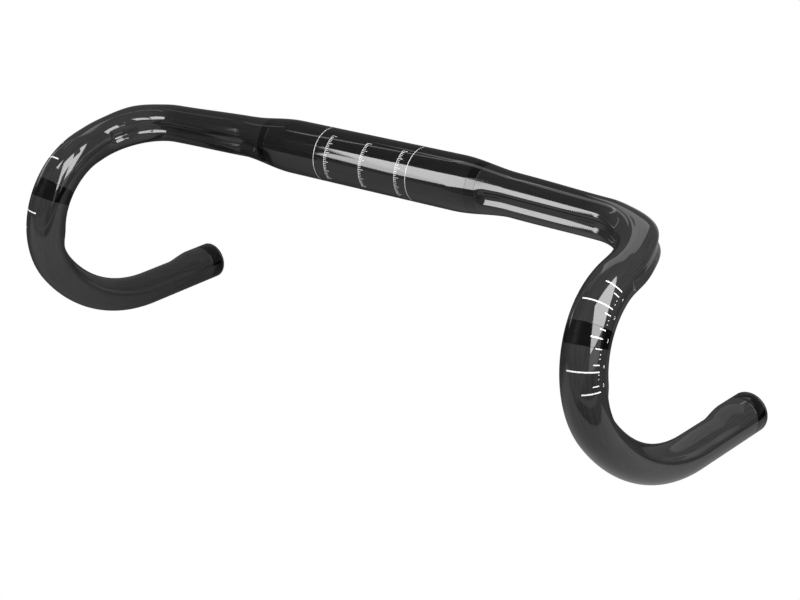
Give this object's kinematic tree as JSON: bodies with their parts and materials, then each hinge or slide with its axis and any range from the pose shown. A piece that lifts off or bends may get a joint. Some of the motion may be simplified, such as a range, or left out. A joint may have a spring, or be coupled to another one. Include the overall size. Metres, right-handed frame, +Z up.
{
  "type": "drop handlebar",
  "caption": "Drop handlebar of bonded tube sections with a round stem clamp section, cable channels, flared hooks, recessed drops and expanding end plugs.",
  "frame": {"origin": "centre of the stem clamp section, on its axis", "axes": "+X along the bar, towards the rider's left; -Y forwards, +Y towards the open ends of the drops; +Z up with the drops level"},
  "size_m": [0.4434, 0.1659, 0.1521],
  "materials": {
    "gloss_carbon": "clear-coated carbon laminate, high gloss",
    "band": "gloss black wrap",
    "ferrule": "bare bonded carbon laminate",
    "plug_plastic": "moulded black plastic",
    "washer_steel": "zinc-plated",
    "sleeve_rubber": "matt rubber",
    "wedge_alloy": "turned",
    "screw_steel": "blackened"
  },
  "bodies": {
    "bar": {"clamp_section": "gloss_carbon", "right_top_section": "gloss_carbon", "right_drop_section": "gloss_carbon", "right_neck_ferrule": "ferrule", "right_hook_ferrule": "ferrule", "right_neck_band": "band", "right_hook_band": "band", "right_end_socket": "band", "left_top_section": "gloss_carbon", "left_drop_section": "gloss_carbon", "left_neck_ferrule": "ferrule", "left_hook_ferrule": "ferrule", "left_neck_band": "band", "left_hook_band": "band", "left_end_socket": "band"},
    "right_plug": {"right_plug_cap": "plug_plastic", "right_plug_washer": "washer_steel", "right_plug_sleeve": "sleeve_rubber"},
    "right_screw": {"right_plug_screw": "screw_steel"},
    "right_wedge": {"right_plug_wedge": "wedge_alloy"},
    "left_plug": {"left_plug_cap": "plug_plastic", "left_plug_washer": "washer_steel", "left_plug_sleeve": "sleeve_rubber"},
    "left_screw": {"left_plug_screw": "screw_steel"},
    "left_wedge": {"left_plug_wedge": "wedge_alloy"}
  },
  "joints": [
    {"name": "right_plug_pull", "type": "slide", "parent": "bar", "child": "right_plug", "axis": [0.0283, 0.9996, 0.0016], "range_m": [0, 0.042]},
    {"name": "right_screw_turn", "type": "hinge", "parent": "right_plug", "child": "right_screw", "pos_m": [0.20968, 0.06961, -0.12415], "axis": [0.0283, 0.9996, 0.0016], "range_deg": [0, 1082]},
    {"name": "right_wedge_draw", "type": "slide", "parent": "right_plug", "child": "right_wedge", "axis": [-0.0283, -0.9996, -0.0016], "range_m": [0, 0.0024]},
    {"name": "left_plug_pull", "type": "slide", "parent": "bar", "child": "left_plug", "axis": [-0.0283, 0.9996, 0.0016], "range_m": [0, 0.042]},
    {"name": "left_screw_turn", "type": "hinge", "parent": "left_plug", "child": "left_screw", "pos_m": [-0.20968, 0.06961, -0.12415], "axis": [-0.0283, 0.9996, 0.0016], "range_deg": [0, 1082]},
    {"name": "left_wedge_draw", "type": "slide", "parent": "left_plug", "child": "left_wedge", "axis": [0.0283, -0.9996, -0.0016], "range_m": [0, 0.0024]}
  ],
  "couplings": [
    {"joint": "right_screw_turn", "follows": "right_wedge_draw", "rad_per_m": 7854},
    {"joint": "left_screw_turn", "follows": "left_wedge_draw", "rad_per_m": 7854}
  ]
}
